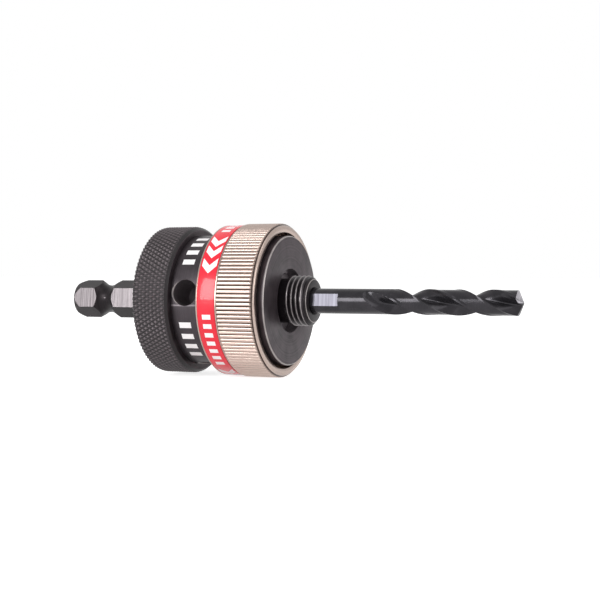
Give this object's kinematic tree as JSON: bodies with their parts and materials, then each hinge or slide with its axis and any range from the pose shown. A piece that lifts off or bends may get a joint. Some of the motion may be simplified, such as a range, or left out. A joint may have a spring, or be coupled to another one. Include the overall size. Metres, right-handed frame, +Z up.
{
  "type": "hole saw arbor",
  "caption": "Quick-change hole saw arbor: hex shank, knurled hold and release collars, threaded nose with a seat plate, and a twist pilot drill.",
  "frame": {"origin": "on the axis, in the plane of the pressure plate's seat face at rest", "axes": "+X along the axis from the hex shank to the drill's tip; +Z up; the bar hole over the set screw faces -Y, 7.4 degrees above level"},
  "size_m": [0.1224, 0.0392, 0.0392],
  "materials": {
    "black_oxide": "black oxide",
    "drill_oxide": "black oxide, ground flutes",
    "satin_nickel": "satin nickel plate",
    "red_enamel": "gloss",
    "bright_steel": "ground",
    "spring_steel": "phosphated",
    "cage_brass": "turned",
    "nitrile": "moulded"
  },
  "bodies": {
    "spindle_assembly": {"spindle": "black_oxide", "hold_collar": "black_oxide", "collar_dowels": "bright_steel", "collar_ring": "spring_steel", "set_screw": "spring_steel", "pilot_drill": "drill_oxide", "stop_pin": "bright_steel", "dust_seal": "nitrile"},
    "plate_assembly": {"pressure_plate": "black_oxide", "plate_ring": "spring_steel", "thrust_balls": "bright_steel", "ball_cage": "cage_brass"},
    "collar_assembly": {"release_collar": "satin_nickel", "rear_race": "bright_steel", "release_band": "red_enamel"}
  },
  "joints": [
    {"name": "plate_slide", "type": "slide", "parent": "spindle_assembly", "child": "plate_assembly", "axis": [1, 0, 0], "range_m": [-0.0015, 0]},
    {"name": "release_turn", "type": "hinge", "parent": "plate_assembly", "child": "collar_assembly", "pos_m": [-0.0077, 0, 0], "axis": [1, 0, 0], "range_deg": [0, 90]}
  ],
  "couplings": [
    {"joint": "release_turn", "follows": "plate_slide", "rad_per_m": -1047.2}
  ]
}
